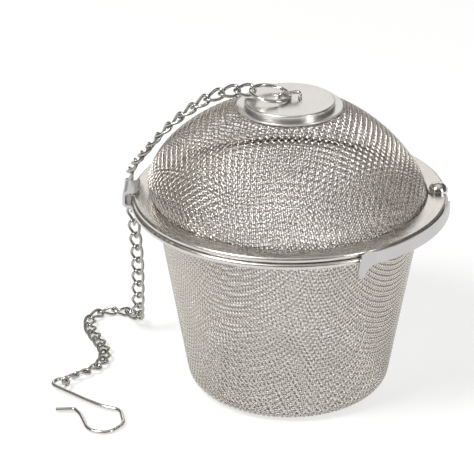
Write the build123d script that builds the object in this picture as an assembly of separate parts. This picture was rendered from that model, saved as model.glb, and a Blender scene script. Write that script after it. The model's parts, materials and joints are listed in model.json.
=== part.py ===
"""Tea infuser: a drawn wire-mesh basket, a mesh dome lid that swivels on a vertical rivet,
and a curb chain that runs from a ring on the lid's cap down to a wire hook.

Millimetres, +Z up. The origin is the centre of the basket's flat bottom. The rivet is on +X,
the latch clip on -X, and the finger tab is at the front, -Y.
"""

import os
from math import acos, asin, atan2, copysign, cos, degrees, hypot, radians, sin, sqrt

from build123d import *

# Driving dimensions
MESH_T = 0.4  # a woven sheet is two wires thick
BASE_R = 13.8  # where the basket's wall line meets the floor plane
BASE_ROUND = 2.75
MOUTH_R = 18.3
RIM_Z = 27.8  # the plane where the lid's rim rests on the basket's rim
RIM_T = 0.8
RIM_ROUND = 0.37  # the folded edge
LEAF_T = 0.2
MOUTH_ROUND = 0.5
UPPER_LEAF = 0.35  # how far the basket rim's upper leaf reaches inside the mouth
LOWER_LEAF = 0.75  # and how far its lower leaf stays outside it
BASKET_RIM_R = 21.55
LID_RIM_R = 21.3  # inside the guard band with a clear gap
MESH_EDGE_R = 21.0  # how far the mesh edges reach into the folded rims
FIT_GAP = 0.02

DOME_R = 18.6
SHOULDER_R = 4.5
SHOULDER_TURN = 32.0
CROWN_R = 28.0
CROWN_TURN = 30.5
CROWN_HOLE_R = 4.5
DOME_SWELL = 1.05  # the drawn dome is fuller than its two arcs, most of all at mid-height,
DOME_LEAN = 0.9  # and it bulges this far towards the clip's side there
DOME_GAP = 0.2  # between the dome and the inner edge of its rim's upper leaf
SHOULDER_SECTIONS = 4
CROWN_SECTIONS = 7

CAP_R = 6.1
CAP_BRIM_R = 7.15
CAP_T = 0.3
CAP_HEIGHT = 1.07
CAP_ROUND = 0.25

STAPLE_WIRE_R = 0.25
STAPLE_HALF_SPAN = 1.45
STAPLE_TURN = 18.0  # the staple's direction, in degrees from +X
STAPLE_RISE = 1.15
STAPLE_BEND = 0.55
STAPLE_FOOT = 1.0
STAPLE_FOOT_BEND = 0.3

PIVOT_X = 20.15
SHANK_R = 0.7
SHANK_HOLE_R = 0.74
RIVET_HEAD_R = 1.3
RIVET_HEAD_H = 0.9
WASHER_R = 1.42
WASHER_T = 0.3
RIVET_FOOT_H = 0.35

GUARD_T = 0.28
GUARD_START = -61.0
GUARD_END = -8.0
GUARD_LOW = 26.75
GUARD_HIGH = 28.45
TAB_LEAN = 9.0
TAB_ROUND = 0.22
# The tab, as (distance past the band's end, height over the band's top edge)
TAB_OUTLINE = [
    (-0.6, -0.05),
    (0.1, 0.1),
    (0.6, 0.28),
    (1.35, -0.1),
    (1.9, -1.45),
    (2.2, -2.55),
    (1.95, -3.05),
    (1.25, -3.1),
    (0.8, -2.2),
    (0.2, -1.75),
    (-0.6, -1.65),
]

CLIP_T = 0.36
CLIP_LENGTH = 3.6
CLIP_PATH = [(-20.6, 26.8), (-22.42, 26.8), (-22.42, 28.95), (-20.9, 28.95), (-20.45, 29.3)]
CLIP_BENDS = [0.5, 0.75, 0.42]

RING_WIRE_R = 0.25
RING_R = 2.65
RING_SIDE = 172.0  # the ring lies towards this direction from the staple, in degrees
RING_LIFT = 0.75  # how far the first link holds the ring's far side up
RING_GAP = 0.05  # between the ring and the cap under the staple

LINK_WIRE_R = 0.21
LINK_LENGTH = 2.82  # along the wire's centreline
LINK_WIDTH = 1.52
LINK_TWIST = 45.0  # each end of a link is turned this far out of its middle plane
LINK_END_SHAPE = 0.8  # powers that square off the link's oval
LINK_SIDE_SHAPE = 0.85
LINK_PITCH = 2.2
LINK_POINTS = 16
RING_GRIP = 0.27  # how far inside the ring's wire the first link's joint is
HOOK_GRIP = 0.3
HOOK_EYE_RISE = 0.03
START_FACING = (-0.1, -0.7, 0.7)
END_FACING = (0.5, -0.5, -0.7)

# The chain's route, from the ring over the dome and the rim, down to the floor and along it.
# Each entry is a point and the direction that the links' flat side faces there.
ROUTE = [
    ((-8.3, 1.5, 42.35), (-0.1, -0.6, 0.8)),
    ((-10.9, 1.8, 41.3), (-0.3, -0.4, 0.85)),
    ((-13.4, 2.1, 39.5), (-0.4, -0.2, 0.85)),
    ((-15.8, 2.2, 37.5), (-0.55, 0.0, 0.8)),
    ((-17.95, 2.4, 35.2), (-0.75, 0.1, 0.6)),
    ((-19.85, 3.5, 32.5), (-0.8, 0.2, 0.5)),
    ((-21.45, 5.3, 29.9), (-0.85, 0.3, 0.3)),
    ((-22.3, 6.8, 27.0), (-0.95, 0.1, 0.0)),
    ((-22.2, 7.2, 24.0), (-0.8, -0.5, 0.0)),
    ((-21.8, 7.8, 19.0), (-0.4, -0.9, 0.0)),
    ((-21.6, 8.7, 14.0), (-0.2, -1.0, -0.1)),
    ((-21.7, 9.9, 9.0), (-0.2, -1.0, -0.2)),
    ((-21.9, 11.2, 4.8), (-0.1, -0.9, -0.5)),
    ((-22.1, 13.0, 2.4), (0.0, -0.6, -0.8)),
    ((-22.5, 15.8, 0.92), (0.0, -0.2, -1.0)),
    ((-23.9, 17.6, 0.62), (0.0, 0.0, -1.0)),
    ((-25.8, 18.1, 0.58), (0.0, 0.0, -1.0)),
    ((-27.7, 17.6, 0.58), (0.0, 0.0, -1.0)),
    ((-29.0, 16.2, 0.58), (0.0, 0.0, -1.0)),
    ((-29.4, 14.3, 0.58), (0.0, 0.0, -1.0)),
    ((-29.1, 12.2, 0.58), (0.0, 0.0, -1.0)),
    ((-28.3, 10.2, 0.58), (0.0, 0.0, -1.0)),
    ((-27.0, 7.3, 0.58), (0.0, 0.0, -1.0)),
    ((-26.2, 4.4, 0.58), (0.0, 0.0, -1.0)),
    ((-26.6, 1.6, 0.58), (0.1, -0.1, -1.0)),
    ((-28.2, -0.6, 0.66), (0.25, -0.25, -0.93)),
    ((-30.0, -2.3, 0.84), (0.4, -0.4, -0.8)),
]

HOOK_WIRE_R = 0.28
HOOK_EYE = (-31.75, -4.65)
HOOK_EYE_R = 1.05
HOOK_EYE_TURN = 285.0
HOOK_SHANK = [
    (-28.0, -8.8),
    (-25.4, -10.5),
    (-22.9, -11.4),
    (-22.2, -14.9),
    (-24.3, -17.3),
    (-27.0, -16.3),
    (-28.3, -12.6),
    (-29.2, -11.2),
    (-31.8, -11.4),
]
HOOK_BENDS = [3.5, 4.0, 1.6, 1.9, 2.0, 2.0, 3.5, 0.7]
HOOK_LOW_Z = 0.3
HOOK_HIGH_Z = 0.94
HOOK_LOW_Y = -17.2

# Worked out from the driving dimensions
LID_RIM_Z = RIM_Z + FIT_GAP
LID_TOP_Z = LID_RIM_Z + RIM_T
BASKET_RIM_Z = RIM_Z - RIM_T


def revolved(profile):
    """A solid of revolution about Z, from a closed profile drawn as (radius, height)."""
    return revolve(Plane.XZ * make_face(profile), axis=Axis.Z, revolution_arc=360)


def ring_profile(inner, outer, low, high):
    """The closed outline of a plain ring's section."""
    corners = [(inner, low), (outer, low), (outer, high), (inner, high)]
    return Polyline(*corners, close=True)


def drill(solid, x, radius):
    """The solid with a vertical hole through both rims at (x, 0)."""
    return solid - Pos(x, 0, RIM_Z) * Cylinder(radius, 8 * RIM_T)


# Basket


def basket_section(inset, round_radius):
    """The basket's wall line from the axis to the mesh edge, moved inwards by inset."""
    lean = atan2(MOUTH_R - BASE_R, BASKET_RIM_Z)
    wall_inset = inset / cos(lean)
    floor = inset
    flange = BASKET_RIM_Z + LEAF_T + inset

    def wall(z):
        return BASE_R + z * (MOUTH_R - BASE_R) / BASKET_RIM_Z - wall_inset

    points = [(0, floor), (wall(floor), floor), (wall(flange), flange), (MESH_EDGE_R, flange)]
    return FilletPolyline(*points, radius=[round_radius, MOUTH_ROUND + inset])


def basket_mesh():
    outer = basket_section(0, BASE_ROUND)
    inner = basket_section(MESH_T, BASE_ROUND - MESH_T)
    ends = [Line(outer @ 0, inner @ 0), Line(outer @ 1, inner @ 1)]
    cup = revolved(Curve() + outer + inner + ends)
    return drill(cup, PIVOT_X, SHANK_R + FIT_GAP)


def folded_rim(low, outer, upper_inner, lower_inner):
    """A ring of sheet folded round its outer edge, with a slot for the mesh edge."""
    body = revolved(ring_profile(min(upper_inner, lower_inner), outer, low, low + RIM_T))
    edges = body.edges().filter_by(GeomType.CIRCLE).sort_by(SortBy.RADIUS)[-2:]
    body = fillet(edges, RIM_ROUND)
    slot = ring_profile(0, MESH_EDGE_R + FIT_GAP, low + LEAF_T, low + RIM_T - LEAF_T)
    body -= revolved(slot)
    if lower_inner > upper_inner:
        trimmed = ring_profile(0, lower_inner, low - RIM_T, low + RIM_T / 2)
    else:
        trimmed = ring_profile(0, upper_inner, low + RIM_T / 2, low + 2 * RIM_T)
    return body - revolved(trimmed)


def basket_rim():
    rim = folded_rim(BASKET_RIM_Z, BASKET_RIM_R, MOUTH_R - UPPER_LEAF, MOUTH_R + LOWER_LEAF)
    return drill(rim, PIVOT_X, SHANK_R + FIT_GAP)


def guard_band():
    """The upstanding band and, at its front end, the tab that is bent out of it. It is drawn
    with that end on +X and then turned into place."""
    inner = BASKET_RIM_R + FIT_GAP
    section = Plane.XZ * make_face(ring_profile(inner, inner + GUARD_T, GUARD_LOW, GUARD_HIGH))
    wall = revolve(section, axis=Axis.Z, revolution_arc=GUARD_END - GUARD_START)
    lean = radians(TAB_LEAN)
    face = Plane(origin=(inner, 0, GUARD_HIGH), x_dir=(0, -1, 0), z_dir=(-cos(lean), 0, -sin(lean)))
    outline = FilletPolyline(*TAB_OUTLINE, radius=TAB_ROUND, close=True)
    tab = extrude(face * make_face(outline), amount=-GUARD_T)
    return Rot(0, 0, GUARD_START) * (wall + tab)


def latch_clip():
    fold = FilletPolyline(*CLIP_PATH, radius=CLIP_BENDS)
    section = Plane.XZ * trace(fold, line_width=CLIP_T)
    return extrude(section, amount=CLIP_LENGTH / 2, both=True)


def hinge_rivet():
    foot_z = BASKET_RIM_Z - RIVET_FOOT_H
    head_z = LID_TOP_Z + WASHER_T + 2 * FIT_GAP
    sphere_r = (RIVET_HEAD_R**2 + RIVET_HEAD_H**2) / (2 * RIVET_HEAD_H)
    middle_r = RIVET_HEAD_R / 2
    drop = sphere_r - sqrt(sphere_r**2 - middle_r**2)
    top = head_z + RIVET_HEAD_H
    head_arc = ThreePointArc((RIVET_HEAD_R, head_z), (middle_r, top - drop), (0, top))
    outline = Polyline(
        (0, top),
        (0, foot_z),
        (RIVET_HEAD_R, foot_z),
        (RIVET_HEAD_R, BASKET_RIM_Z - FIT_GAP),
        (SHANK_R, BASKET_RIM_Z - FIT_GAP),
        (SHANK_R, head_z),
        (RIVET_HEAD_R, head_z),
    )
    return Pos(PIVOT_X, 0, 0) * revolved(Curve() + outline + head_arc)


def rivet_washer():
    low = LID_TOP_Z + FIT_GAP
    ring = revolved(ring_profile(SHANK_R + FIT_GAP, WASHER_R, low, low + WASHER_T))
    return Pos(PIVOT_X, 0, 0) * ring


# Lid


def dome_line(inset, start_z):
    """The dome's outline from the rim to the crown's edge, moved inwards by inset."""
    shoulder = JernArc((DOME_R - inset, start_z), (0, 1), SHOULDER_R - inset, SHOULDER_TURN)
    crown = JernArc(shoulder @ 1, shoulder % 1, CROWN_R - inset, CROWN_TURN)
    return shoulder, crown


def dome_sections(inset, start_z):
    """The dome's level sections from the rim up, as (radius, height), before it swells."""
    shoulder, crown = dome_line(inset, start_z)
    points = [shoulder @ (k / SHOULDER_SECTIONS) for k in range(SHOULDER_SECTIONS)]
    points += [crown @ (k / CROWN_SECTIONS) for k in range(CROWN_SECTIONS + 1)]
    return [(point.X, point.Y) for point in points]


def dome_solid(inset, start_z):
    """The dome as a solid, swollen and leaned in proportion to a parabola over its height."""
    sections = dome_sections(inset, start_z)
    low, high = sections[0][1], sections[-1][1]
    circles = []
    for radius, height in sections:
        share = (height - low) / (high - low)
        bulge = 4 * share * (1 - share)
        circles.append(Pos(-DOME_LEAN * bulge, 0, height) * Circle(radius + DOME_SWELL * bulge))
    return loft(circles)


def lid_mesh():
    flange_low = LID_RIM_Z + LEAF_T
    flange_high = flange_low + MESH_T
    seat = crown_seat()
    inner_r, inner_z = dome_sections(MESH_T, flange_high)[-1]
    flange = revolved(ring_profile(DOME_R - MESH_T, MESH_EDGE_R, flange_low, flange_high))
    crown = revolved(ring_profile(CROWN_HOLE_R, inner_r, seat - MESH_T, (seat + inner_z) / 2))
    dome = dome_solid(0, flange_high) - dome_solid(MESH_T, flange_high)
    dome -= Pos(0, 0, seat) * Cylinder(CROWN_HOLE_R, 4 * MESH_T)
    return drill(dome + flange + crown, PIVOT_X, SHANK_HOLE_R)


def crown_seat():
    """Height of the dome's flat seat for the cap."""
    return (dome_line(0, LID_RIM_Z + LEAF_T + MESH_T)[1] @ 1).Y


def lid_rim():
    rim = folded_rim(LID_RIM_Z, LID_RIM_R, DOME_R + DOME_GAP, DOME_R - MESH_T - 3 * FIT_GAP)
    return drill(rim, PIVOT_X, SHANK_HOLE_R)


def staple_foot_points():
    turn = radians(STAPLE_TURN)
    reach = (STAPLE_HALF_SPAN * cos(turn), STAPLE_HALF_SPAN * sin(turn))
    return [reach, (-reach[0], -reach[1])]


def with_staple_holes(plate):
    for x, y in staple_foot_points():
        plate -= Pos(x, y, crown_seat()) * Cylinder(STAPLE_WIRE_R + FIT_GAP, 6 * CAP_HEIGHT)
    return plate


def top_cap():
    low = crown_seat() + FIT_GAP
    high = low + CAP_HEIGHT
    outline = Polyline(
        (0, high - CAP_T),
        (CAP_R - CAP_T, high - CAP_T),
        (CAP_R - CAP_T, low),
        (CAP_BRIM_R, low),
        (CAP_BRIM_R, low + CAP_T),
        (CAP_R, low + CAP_T),
        (CAP_R, high),
        (0, high),
        close=True,
    )
    cap = revolved(outline)
    rounds = cap.edges().filter_by(GeomType.CIRCLE)
    shoulder = [e for e in rounds if abs(e.radius - CAP_R) < 0.01 and e.center().Z > high - 0.01]
    cap = fillet(shoulder, CAP_ROUND)
    rounds = cap.edges().filter_by(GeomType.CIRCLE)
    brim = [e for e in rounds if abs(e.radius - CAP_BRIM_R) < 0.01]
    cap = fillet(brim, CAP_T / 2 - 0.02)
    return with_staple_holes(cap)


def cap_top_z():
    return crown_seat() + FIT_GAP + CAP_HEIGHT


def cap_backing():
    high = crown_seat() - MESH_T - FIT_GAP
    plate = revolved(ring_profile(0, CAP_R, high - CAP_T, high))
    return with_staple_holes(plate)


def eye_staple():
    turn = radians(STAPLE_TURN)
    bridge_z = cap_top_z() + STAPLE_RISE - STAPLE_WIRE_R
    foot_z = crown_seat() - MESH_T - CAP_T - 4 * FIT_GAP - STAPLE_WIRE_R
    side = Plane(origin=(0, 0, 0), x_dir=(cos(turn), sin(turn), 0), z_dir=(sin(turn), -cos(turn), 0))
    span = STAPLE_HALF_SPAN
    path = FilletPolyline(
        (-span - STAPLE_FOOT, foot_z),
        (-span, foot_z),
        (-span, bridge_z),
        (span, bridge_z),
        (span, foot_z),
        (span + STAPLE_FOOT, foot_z),
        radius=[STAPLE_FOOT_BEND, STAPLE_BEND, STAPLE_BEND, STAPLE_FOOT_BEND],
    )
    return wire_along(side * path, STAPLE_WIRE_R)


# Chain


def wire_along(path, radius):
    """A round wire along a path."""
    start = Plane(origin=path @ 0, z_dir=path % 0)
    return sweep(start * Circle(radius), path=path)


def ring_plane():
    """The jump ring's plane: level under the staple and raised at its far side."""
    tilt = asin(RING_LIFT / (2 * RING_R))
    turn = radians(RING_SIDE)
    low_z = cap_top_z() + RING_WIRE_R + RING_GAP
    outwards = Vector(cos(turn) * cos(tilt), sin(turn) * cos(tilt), sin(tilt))
    across = Vector(-sin(turn), cos(turn), 0)
    centre = Vector(0, 0, low_z) + outwards * RING_R
    return Plane(origin=centre, x_dir=outwards, z_dir=outwards.cross(across))


def ring_far_side():
    """The middle of the ring's wire where the first link hangs in it."""
    plane = ring_plane()
    return plane.origin + plane.x_dir * RING_R


def jump_ring():
    return ring_plane() * Torus(RING_R, RING_WIRE_R)


def link():
    """One curb link, centred on the origin, along X, with its flat side facing Z."""
    points = []
    for k in range(LINK_POINTS):
        turn = radians(360 * (k + 0.5) / LINK_POINTS)
        x = copysign(LINK_LENGTH / 2 * abs(cos(turn)) ** LINK_END_SHAPE, cos(turn))
        half = copysign(LINK_WIDTH / 2 * abs(sin(turn)) ** LINK_SIDE_SHAPE, sin(turn))
        lean = radians(LINK_TWIST) * x / (LINK_LENGTH / 2)
        points.append((x, half * cos(lean), half * sin(lean)))
    loop = Spline(*points, periodic=True)
    halves = [wire_along(loop.trim(*ends), LINK_WIRE_R) for ends in ((0, 0.5), (0.5, 1))]
    return halves[0] + halves[1]


def chain_start():
    """Where the first link meets the ring."""
    return ring_far_side() - ring_plane().x_dir * RING_GRIP


def chain_end():
    """Where the last link meets the hook's eye."""
    centre = Vector(HOOK_EYE[0], HOOK_EYE[1], HOOK_HIGH_Z)
    last = Vector(*ROUTE[-1][0])
    towards = Vector(last.X - centre.X, last.Y - centre.Y, 0).normalized()
    return centre + towards * (HOOK_EYE_R - HOOK_GRIP) + Vector(0, 0, HOOK_EYE_RISE)


def route_curve():
    return Spline(chain_start(), *[point for point, _ in ROUTE], chain_end())


def chain_joints():
    """The places where link meets link, one pitch apart along the route."""
    route = route_curve()
    count = int(route.length / LINK_PITCH)
    step = route.length / count
    return [route.position_at(k * step, position_mode=PositionMode.LENGTH) for k in range(count + 1)]


def facings():
    """Points along the chain, each with the direction that the links' flat side faces there."""
    listed = [(Vector(*point), Vector(*face).normalized()) for point, face in ROUTE]
    first = (chain_start(), Vector(*START_FACING).normalized())
    last = (chain_end(), Vector(*END_FACING).normalized())
    return [first] + listed + [last]


def facing(point):
    """The direction that a link's flat side faces, blended between the nearest route points."""
    known = facings()
    best = None
    for (place, face), (next_place, next_face) in zip(known, known[1:]):
        run = next_place - place
        share = max(0.0, min(1.0, (point - place).dot(run) / run.dot(run)))
        gap = (place + run * share - point).length
        if best is None or gap < best[0]:
            best = (gap, face * (1 - share) + next_face * share)
    return best[1]


def link_planes():
    """One plane for each link: origin at its middle, X along the chain, Z out of its flat side."""
    joints = chain_joints()
    planes = []
    for start, end in zip(joints, joints[1:]):
        along = (end - start).normalized()
        middle = (start + end) * 0.5
        face = facing(middle)
        face = face - along * face.dot(along)
        planes.append(Plane(origin=middle, x_dir=along, z_dir=face))
    return planes


def hook():
    tilt = atan2(HOOK_HIGH_Z - HOOK_LOW_Z, HOOK_EYE[1] - HOOK_LOW_Y)
    origin = (0, HOOK_LOW_Y, HOOK_LOW_Z)
    flat = Plane(origin=origin, x_dir=(1, 0, 0), z_dir=(0, -sin(tilt), cos(tilt)))
    shank_points = [(x, y - HOOK_LOW_Y) for x, y in HOOK_SHANK]
    centre = (HOOK_EYE[0], HOOK_EYE[1] - HOOK_LOW_Y)
    reach = (shank_points[0][0] - centre[0], shank_points[0][1] - centre[1])
    leave = degrees(atan2(reach[1], reach[0]) - acos(HOOK_EYE_R / hypot(*reach)))
    eye = CenterArc(centre, HOOK_EYE_R, leave - HOOK_EYE_TURN, HOOK_EYE_TURN)
    shank = FilletPolyline(eye @ 1, *shank_points, radius=HOOK_BENDS)
    path = flat * Wire([eye] + list(shank.edges()))
    return wire_along(path, HOOK_WIRE_R)


def parts():
    """Every sub-part, by its node's name."""
    made = {
        "basket_mesh": basket_mesh(),
        "basket_rim": basket_rim(),
        "guard_band": guard_band(),
        "latch_clip": latch_clip(),
        "hinge_rivet": hinge_rivet(),
        "rivet_washer": rivet_washer(),
        "lid_mesh": lid_mesh(),
        "lid_rim": lid_rim(),
        "top_cap": top_cap(),
        "cap_backing": cap_backing(),
        "eye_staple": eye_staple(),
        "jump_ring": jump_ring(),
        "hook": hook(),
    }
    one_link = link()
    for number, plane in enumerate(link_planes(), start=1):
        made[f"chain_link_{number:02d}"] = one_link.moved(plane.location)
    return made


if __name__ == "__main__":
    os.makedirs("parts", exist_ok=True)
    for name, shape in parts().items():
        export_step(shape, f"parts/{name}.step")
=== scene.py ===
"""Looks of the tea infuser: woven wire cup and dome, folded steel rims, chain and hook.

The row frame: +Z up, the rivet on +X, the front at -Y. The numbers here are millimetres, unless
they say metres, and MM turns them into the frame's metres.
"""

import json
import math

import bpy
import numpy as np
from mathutils import Matrix, Vector


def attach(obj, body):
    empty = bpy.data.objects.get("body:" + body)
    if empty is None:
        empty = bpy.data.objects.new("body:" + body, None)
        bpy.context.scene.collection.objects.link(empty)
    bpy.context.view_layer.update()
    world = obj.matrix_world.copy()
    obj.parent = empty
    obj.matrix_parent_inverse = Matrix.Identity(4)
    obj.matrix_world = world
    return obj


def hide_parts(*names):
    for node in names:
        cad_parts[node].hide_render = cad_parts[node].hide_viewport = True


MM = 0.001

# Camera: where it stands, what it looks at and how it is rolled
CAMERA_AT = (0.0, -269.45, 150.22)
CAMERA_AIM = (-7.17, 1.27, 20.87)
CAMERA_ROLL = 0.34
LENS = 165.25
SENSOR = 36.0

# Shape of the woven sheets, as the CAD solids have it
MESH_T = 0.4
BASE_R = 13.8
BASE_ROUND = 2.75
MOUTH_R = 18.3
MOUTH_ROUND = 0.5
LEAF_T = 0.2  # sheet of the folded rims
BASKET_FLANGE = 27.2  # height of the lower face of the cup's turned-out edge
LID_FLANGE = 28.02
DOME_R = 18.6
SHOULDER_R = 4.5
SHOULDER_TURN = 32.0
CROWN_R = 28.0
CROWN_TURN = 30.5
CROWN_HOLE_R = 4.6
DOME_SWELL = 1.05  # the dome is fuller than its two arcs, most of all at mid-height,
DOME_LEAN = 0.9  # and it bulges this far towards -X there
EDGE_R = 19.4  # the wires end inside the folded rims, short of the rivet
LID_CORNER = 0.22
CORNER_STEPS = 12
SHOULDER_STEPS = 16
CROWN_STEPS = 40

SAME_POINT = 1e-6  # points of a line nearer than this are one point

# Weave
BASKET_PITCH = 0.58
LID_PITCH = 0.65  # the dome is drawn less deep, so its wires are stretched further apart
WIRE_R = 0.088
WIRE_SIDES = 6
STEPS_PER_PITCH = 2
WANDER = 0.03  # how far a wire strays from its place, as a share of the pitch
BASKET_TURN = -75.0  # direction of one set of wires, in degrees from +X
LID_TURN = -47.0

# Studio. A lamp is its name, place, size, watts and colour, and all of them aim at LAMP_AIM.
LAMP_AIM = (0, 0, 20)
LAMPS = [
    ("key", (-260, -200, 420), (150, 220), 2.1, (1, 1, 1)),
    ("fill", (330, -260, 260), (110, 200), 0.5, (1, 1, 1)),
    ("back", (0, 900, 500), (900, 460), 1.5, (1.0, 0.985, 0.96)),
]
SKY = [(0.0, 0.9), (0.1, 0.5), (0.2, 0.1), (0.42, 0.12), (0.6, 0.1), (0.8, 0.3), (1.0, 0.8)]
SKY_TINT = (1.0, 0.975, 0.94)
FLOOR_SIZE = 3.0  # metres, from the middle to an edge
FLOOR_GREY = 0.4
FLOOR_GLOW = 0.66  # keeps the paper white where the lamps reach it less

# Marks on the steel, as noise scales per metre and a relief in metres
GRAIN_SCALE = 5200
GRAIN_DETAIL = 4
CLOUD_SCALE = 260
CLOUD_DETAIL = 3
SPECKLE = 0.06  # how much the clouds lighten and darken the colour
GRAIN_RUN = 0.0012  # how much the grain changes per radian round the axis, in metres
RELIEF = 0.00002
RELIEF_STRENGTH = 0.4


# Camera and studio


def aim(position, target, roll_degrees):
    """The matrix of an object that looks from position to target, rolled about its line of sight."""
    forward = (Vector(target) - Vector(position)).normalized()
    right = forward.cross(Vector((0, 0, 1))).normalized()
    up = right.cross(forward)
    roll = math.radians(roll_degrees)
    side = right * math.cos(roll) - up * math.sin(roll)
    top = up * math.cos(roll) + right * math.sin(roll)
    turn = Matrix((side, top, -forward)).transposed().to_4x4()
    return Matrix.Translation(position) @ turn


def add_camera():
    data = bpy.data.cameras.new("camera")
    data.lens = LENS
    data.sensor_width = SENSOR
    data.clip_start = 0.01
    data.clip_end = 20
    camera = bpy.data.objects.new("camera", data)
    place = Vector(CAMERA_AT) * MM
    camera.matrix_world = aim(place, Vector(CAMERA_AIM) * MM, CAMERA_ROLL)
    bpy.context.scene.collection.objects.link(camera)
    bpy.context.scene.camera = camera


def add_lamp(name, place, size, watts, colour):
    data = bpy.data.lights.new(name, "AREA")
    data.shape = "RECTANGLE"
    data.size, data.size_y = size[0] * MM, size[1] * MM
    data.energy = watts
    data.color = colour
    lamp = bpy.data.objects.new(name, data)
    lamp.matrix_world = aim(Vector(place) * MM, Vector(LAMP_AIM) * MM, 0)
    bpy.context.scene.collection.objects.link(lamp)


def add_sky():
    """A sky that is bright at the horizon and overhead and dark between, so that steel has
    something to show."""
    world = bpy.data.worlds.new("studio")
    world.use_nodes = True
    bpy.context.scene.world = world
    nodes, links = world.node_tree.nodes, world.node_tree.links
    place = nodes.new("ShaderNodeTexCoord")
    split = nodes.new("ShaderNodeSeparateXYZ")
    ramp = nodes.new("ShaderNodeValToRGB")
    links.new(place.outputs["Generated"], split.inputs[0])
    links.new(split.outputs["Z"], ramp.inputs["Fac"])
    links.new(ramp.outputs["Color"], nodes["Background"].inputs["Color"])
    stops = ramp.color_ramp.elements
    for number, (position, grey) in enumerate(SKY):
        inner = 0 < number < len(SKY) - 1
        stop = stops.new(position) if inner else stops[0 if number == 0 else -1]
        stop.position = position
        stop.color = (*(grey * share for share in SKY_TINT), 1)


def add_floor():
    half = FLOOR_SIZE
    corners = [(-half, -half, 0), (half, -half, 0), (half, half, 0), (-half, half, 0)]
    data = bpy.data.meshes.new("floor")
    data.from_pydata(corners, [], [(0, 1, 2, 3)])
    floor = bpy.data.objects.new("floor", data)
    bpy.context.scene.collection.objects.link(floor)
    material = bpy.data.materials.new("floor_paper")
    material.use_nodes = True
    shader = material.node_tree.nodes["Principled BSDF"]
    shader.inputs["Base Color"].default_value = (FLOOR_GREY, FLOOR_GREY, FLOOR_GREY, 1)
    shader.inputs["Roughness"].default_value = 0.9
    shader.inputs["Specular IOR Level"].default_value = 0.1
    shader.inputs["Emission Color"].default_value = (1, 1, 1, 1)
    shader.inputs["Emission Strength"].default_value = FLOOR_GLOW
    data.materials.append(material)


# Materials


def new_steel(name, colour, roughness):
    """A plain steel material and its node tree."""
    material = bpy.data.materials.new(name)
    material.use_nodes = True
    shader = material.node_tree.nodes["Principled BSDF"]
    shader.inputs["Metallic"].default_value = 1.0
    shader.inputs["Base Color"].default_value = (*colour, 1)
    shader.inputs["Roughness"].default_value = roughness
    return material, material.node_tree


def thin_wire(name, colour, roughness):
    """Steel wire that is too thin to show marks."""
    return new_steel(name, colour, roughness)[0]


def turned_place(tree, place):
    """A texture place that hardly changes round the vertical axis, for marks that run round it."""
    split = tree.nodes.new("ShaderNodeSeparateXYZ")
    flat = tree.nodes.new("ShaderNodeCombineXYZ")
    radius = tree.nodes.new("ShaderNodeVectorMath")
    radius.operation = "LENGTH"
    turn = tree.nodes.new("ShaderNodeMath")
    turn.operation = "ARCTAN2"
    run = tree.nodes.new("ShaderNodeMath")
    run.operation = "MULTIPLY"
    run.inputs[1].default_value = GRAIN_RUN
    marks = tree.nodes.new("ShaderNodeCombineXYZ")
    tree.links.new(place, split.inputs[0])
    tree.links.new(split.outputs["X"], flat.inputs["X"])
    tree.links.new(split.outputs["Y"], flat.inputs["Y"])
    tree.links.new(flat.outputs[0], radius.inputs[0])
    tree.links.new(split.outputs["Y"], turn.inputs[0])
    tree.links.new(split.outputs["X"], turn.inputs[1])
    tree.links.new(turn.outputs[0], run.inputs[0])
    tree.links.new(radius.outputs["Value"], marks.inputs["X"])
    tree.links.new(run.outputs[0], marks.inputs["Y"])
    tree.links.new(split.outputs["Z"], marks.inputs["Z"])
    return marks.outputs[0]


def noise(tree, place, scale, detail):
    node = tree.nodes.new("ShaderNodeTexNoise")
    node.inputs["Scale"].default_value = scale
    node.inputs["Detail"].default_value = detail
    tree.links.new(place, node.inputs["Vector"])
    return node.outputs["Fac"]


def steel(name, colour, roughness, grain, round_grain=True):
    """Steel sheet. grain is how much the roughness varies along fine marks, which run round
    the vertical axis on the rims and the cap and in no set direction on the small parts."""
    material, tree = new_steel(name, colour, roughness)
    shader = tree.nodes["Principled BSDF"]
    place = tree.nodes.new("ShaderNodeTexCoord").outputs["Object"]
    grain_place = turned_place(tree, place) if round_grain else place
    fine = noise(tree, grain_place, GRAIN_SCALE, GRAIN_DETAIL)
    cloud = noise(tree, place, CLOUD_SCALE, CLOUD_DETAIL)

    rough = tree.nodes.new("ShaderNodeMapRange")
    rough.inputs["To Min"].default_value = roughness - grain
    rough.inputs["To Max"].default_value = roughness + grain
    tree.links.new(fine, rough.inputs["Value"])
    tree.links.new(rough.outputs[0], shader.inputs["Roughness"])

    tint = tree.nodes.new("ShaderNodeMixRGB")
    tint.inputs["Color1"].default_value = (*(c * (1 - SPECKLE) for c in colour), 1)
    tint.inputs["Color2"].default_value = (*(c * (1 + SPECKLE) for c in colour), 1)
    tree.links.new(cloud, tint.inputs["Fac"])
    tree.links.new(tint.outputs[0], shader.inputs["Base Color"])

    relief = tree.nodes.new("ShaderNodeBump")
    relief.inputs["Strength"].default_value = RELIEF_STRENGTH
    relief.inputs["Distance"].default_value = RELIEF
    tree.links.new(fine, relief.inputs["Height"])
    tree.links.new(relief.outputs[0], shader.inputs["Normal"])
    return material


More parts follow.
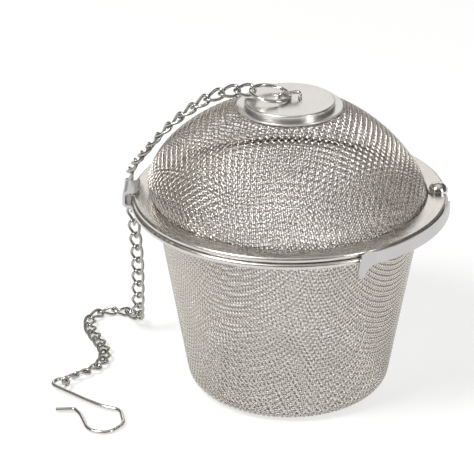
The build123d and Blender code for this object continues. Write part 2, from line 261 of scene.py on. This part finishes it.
def make_materials():
    return {
        "mesh_wire": thin_wire("mesh_wire", (0.63, 0.60, 0.555), 0.13),
        "rim_steel": steel("rim_steel", (0.63, 0.61, 0.575), 0.27, 0.09),
        "cap_steel": steel("cap_steel", (0.68, 0.67, 0.645), 0.3, 0.08),
        "satin_sheet": steel("satin_sheet", (0.56, 0.55, 0.55), 0.34, 0.08, round_grain=False),
        "rivet_steel": steel("rivet_steel", (0.72, 0.71, 0.69), 0.12, 0.04, round_grain=False),
        "wire_steel": steel("wire_steel", (0.62, 0.60, 0.57), 0.16, 0.06, round_grain=False),
        "chain_steel": thin_wire("chain_steel", (0.43, 0.42, 0.395), 0.2),
    }


# Woven wire


def arc(start, heading, radius, turn_degrees, count):
    """Points of an arc that leaves start in direction heading and turns left by turn_degrees."""
    turn = math.radians(turn_degrees)
    reach = math.copysign(radius, turn)
    centre_x = start[0] - reach * math.sin(heading)
    centre_y = start[1] + reach * math.cos(heading)
    points = []
    for k in range(count + 1):
        a = heading + turn * k / count
        points.append((centre_x + reach * math.sin(a), centre_y - reach * math.cos(a)))
    return points


def rounded(corners, radii):
    """A path through corners whose inner corners are rounded to radii."""
    path = [corners[0]]
    for before, here, after, radius in zip(corners, corners[1:], corners[2:], radii):
        a = math.atan2(here[1] - before[1], here[0] - before[0])
        b = math.atan2(after[1] - here[1], after[0] - here[0])
        turn = (b - a + math.pi) % (2 * math.pi) - math.pi
        reach = radius * math.tan(abs(turn) / 2)
        start = (here[0] - reach * math.cos(a), here[1] - reach * math.sin(a))
        path += arc(start, a, radius, math.degrees(turn), CORNER_STEPS)
    path.append(corners[-1])
    return path


def basket_line():
    """The middle of the cup's wall, from the axis to the edge, as (radius, height)."""
    half = MESH_T / 2
    lean = math.atan2(MOUTH_R - BASE_R, BASKET_FLANGE - LEAF_T)

    def wall(z):
        return BASE_R + z * math.tan(lean) - half / math.cos(lean)

    flange = BASKET_FLANGE + half
    corners = [(0, half), (wall(half), half), (wall(flange), flange), (EDGE_R, flange)]
    return rounded(corners, [BASE_ROUND - half, MOUTH_ROUND + half])


def fullness(z, low, top):
    """One at the middle of the dome's height, nothing at its foot and its top."""
    share = (z - low) / (top - low)
    return np.clip(4 * share * (1 - share), 0, None)


def dome_line():
    """The middle of the dome's wall, from the hole under the cap to the edge."""
    half = MESH_T / 2
    flange = LID_FLANGE + half
    start = (DOME_R - half, flange + half)
    heading = math.pi / 2
    shoulder = arc(start, heading, SHOULDER_R - half, SHOULDER_TURN, SHOULDER_STEPS)
    heading += math.radians(SHOULDER_TURN)
    crown = arc(shoulder[-1], heading, CROWN_R - half, CROWN_TURN, CROWN_STEPS)
    foot = rounded([(EDGE_R, flange), (DOME_R - half, flange), shoulder[0]], [LID_CORNER])
    low, top = shoulder[0][1], crown[-1][1]
    wall = [(r + DOME_SWELL * fullness(z, low, top), z) for r, z in shoulder + crown[1:]]
    path = foot[:-1] + wall + [(CROWN_HOLE_R, top)]
    return path[::-1]


class Surface:
    """A surface of revolution, addressed by the distance along its line from the axis. At
    mid-height it leans towards -X by lean."""

    def __init__(self, line, start_radius, lean):
        self.lean = lean
        points = np.array(line)
        steps = np.hypot(*np.diff(points, axis=0).T)
        moved = steps > SAME_POINT
        points = points[np.concatenate([[True], moved])]
        self.along = start_radius + np.concatenate([[0], np.cumsum(steps[moved])])
        self.points = points
        self.heights = points[:, 1].min(), points[:, 1].max()
        slope = np.gradient(points, self.along, axis=0)
        slope /= np.hypot(slope[:, 0], slope[:, 1])[:, None]
        self.normals = np.stack([slope[:, 1], -slope[:, 0]], axis=1)

    def at(self, distance, azimuth, height):
        """World points at these distances and azimuths, lifted off the surface by height."""
        r = np.interp(distance, self.along, self.points[:, 0])
        z = np.interp(distance, self.along, self.points[:, 1])
        out = np.interp(distance, self.along, self.normals[:, 0])
        up = np.interp(distance, self.along, self.normals[:, 1])
        r = r + out * height
        z = z + up * height
        normal = np.stack([out * np.cos(azimuth), out * np.sin(azimuth), up], axis=1)
        shift = self.lean * fullness(z, *self.heights)
        return np.stack([r * np.cos(azimuth) - shift, r * np.sin(azimuth), z], axis=1), normal


def wire_spans(offset, inner, outer):
    """The stretches of a straight wire that lie between two circles."""
    reach = math.sqrt(outer * outer - offset * offset)
    if offset >= inner or offset <= -inner:
        return [(-reach, reach)]
    gap = math.sqrt(inner * inner - offset * offset)
    return [(-reach, -gap), (gap, reach)]


def wire_points(surface, pitch, offset, span, number, family, turn):
    """Centre points and surface normals of one wire of the weave, from its place in the flat
    sheet. family 0 wires are the warp and family 1 the weft, which passes it over and under."""
    step = pitch / STEPS_PER_PITCH
    first, last = math.ceil(span[0] / step), math.floor(span[1] / step)
    along = np.concatenate([[span[0]], np.arange(first, last + 1) * step, [span[1]]])
    phase = np.pi * (along / pitch + number)
    height = WIRE_R * np.cos(phase) * (1 if family == 0 else -1)
    across = np.full_like(along, offset)
    x, y = (across, along) if family == 0 else (along, across)
    distance = np.hypot(x, y)
    azimuth = np.arctan2(y, x) + turn
    return surface.at(distance, azimuth, height)


def tube(centres, normals, radius, sides):
    """Vertices of a tube round a path, ring by ring."""
    tangents = np.gradient(centres, axis=0)
    tangents /= np.linalg.norm(tangents, axis=1)[:, None]
    lift = normals - tangents * np.sum(normals * tangents, axis=1)[:, None]
    lift /= np.linalg.norm(lift, axis=1)[:, None]
    across = np.cross(tangents, lift)
    turns = (np.arange(sides) * 2 * np.pi / sides)[None, :, None]
    ring = lift[:, None] * np.cos(turns) + across[:, None] * np.sin(turns)
    return (centres[:, None] + radius * ring).reshape(-1, 3)


def mesh_from_tubes(name, tubes, sides):
    """One mesh object from the tubes' rings, with closed ends."""
    verts = np.concatenate(tubes)
    quads, caps = [], []
    start = 0
    for points in tubes:
        rings = len(points) // sides
        ring = np.arange(rings - 1)[:, None] * sides + start
        side = np.arange(sides)[None]
        after = (side + 1) % sides
        corners = [ring + side, ring + after, ring + sides + after, ring + sides + side]
        quads.append(np.stack(corners, axis=2).reshape(-1, 4))
        caps.append(np.arange(sides)[::-1] + start)
        caps.append(np.arange(sides) + start + (rings - 1) * sides)
        start += len(points)
    quads = np.concatenate(quads)
    caps = np.stack(caps)
    loops = np.concatenate([quads.ravel(), caps.ravel()])
    sizes = np.concatenate([np.full(len(quads), 4), np.full(len(caps), sides)])
    starts = np.concatenate([[0], np.cumsum(sizes)[:-1]])
    mesh = bpy.data.meshes.new(name)
    mesh.vertices.add(len(verts))
    mesh.vertices.foreach_set("co", (verts * MM).astype(np.float32).ravel())
    mesh.loops.add(len(loops))
    mesh.loops.foreach_set("vertex_index", loops.astype(np.int32))
    mesh.polygons.add(len(sizes))
    mesh.polygons.foreach_set("loop_start", starts.astype(np.int32))
    mesh.polygons.foreach_set("use_smooth", np.ones(len(sizes), bool))
    mesh.update(calc_edges=True)
    mesh.validate()
    piece = bpy.data.objects.new(name, mesh)
    bpy.context.scene.collection.objects.link(piece)
    return piece


def woven(name, surface, pitch, inner, outer, turn_degrees, parts, seed):
    """The pieces of a woven sheet formed over a surface: warp and weft, each cut into parts."""
    random = np.random.default_rng(seed)
    turn = math.radians(turn_degrees)
    count = int(outer / pitch)
    pieces = []
    for family, word in ((0, "warp"), (1, "weft")):
        numbers = np.arange(-count, count + 1)
        strays = random.uniform(-WANDER, WANDER, len(numbers)) * pitch
        tubes = {part: [] for part in range(parts)}
        for number, stray in zip(numbers, strays):
            offset = number * pitch + stray
            if abs(offset) >= outer:
                continue
            part = min(parts - 1, int((offset + outer) / (2 * outer) * parts))
            for span in wire_spans(offset, inner, outer):
                centres, normals = wire_points(surface, pitch, offset, span, number, family, turn)
                tubes[part].append(tube(centres, normals, WIRE_R, WIRE_SIDES))
        for part, rings in tubes.items():
            suffix = f"_{part + 1}" if parts > 1 else ""
            pieces.append(mesh_from_tubes(f"{name}_{word}{suffix}", rings, WIRE_SIDES))
    return pieces


def weave_sheet(name, body, line, lean, pitch, turn_degrees, parts, seed, material):
    """Weaves one sheet over the line and declares its pieces in place of the CAD solid."""
    inner = line[0][0]
    surface = Surface(line, inner, lean)
    outer = surface.along[-1]
    for piece in woven(name, surface, pitch, inner, outer, turn_degrees, parts, seed):
        piece.data.materials.append(material)
        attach(piece, body)
        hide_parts(name)


# Scene

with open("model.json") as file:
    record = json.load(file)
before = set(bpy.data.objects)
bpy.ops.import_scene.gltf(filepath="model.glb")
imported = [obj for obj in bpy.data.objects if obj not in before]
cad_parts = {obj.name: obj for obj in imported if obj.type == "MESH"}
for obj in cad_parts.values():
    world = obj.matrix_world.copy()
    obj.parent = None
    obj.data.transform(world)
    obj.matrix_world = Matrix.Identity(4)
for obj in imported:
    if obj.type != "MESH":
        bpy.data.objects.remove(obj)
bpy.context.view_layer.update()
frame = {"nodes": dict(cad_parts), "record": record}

scene = bpy.context.scene
scene.view_settings.view_transform = "Standard"
add_camera()
for lamp in LAMPS:
    add_lamp(*lamp)
add_sky()
add_floor()

materials = make_materials()
for entry in frame["record"]["subparts"]:
    node = frame["nodes"][entry["node"]]
    node.data.materials.clear()
    node.data.materials.append(materials[entry["material_slot"]])

wire = materials["mesh_wire"]
weave_sheet("basket_mesh", "basket", basket_line(), 0, BASKET_PITCH, BASKET_TURN, 3, 7, wire)
weave_sheet("lid_mesh", "lid", dome_line(), DOME_LEAN, LID_PITCH, LID_TURN, 1, 8, wire)
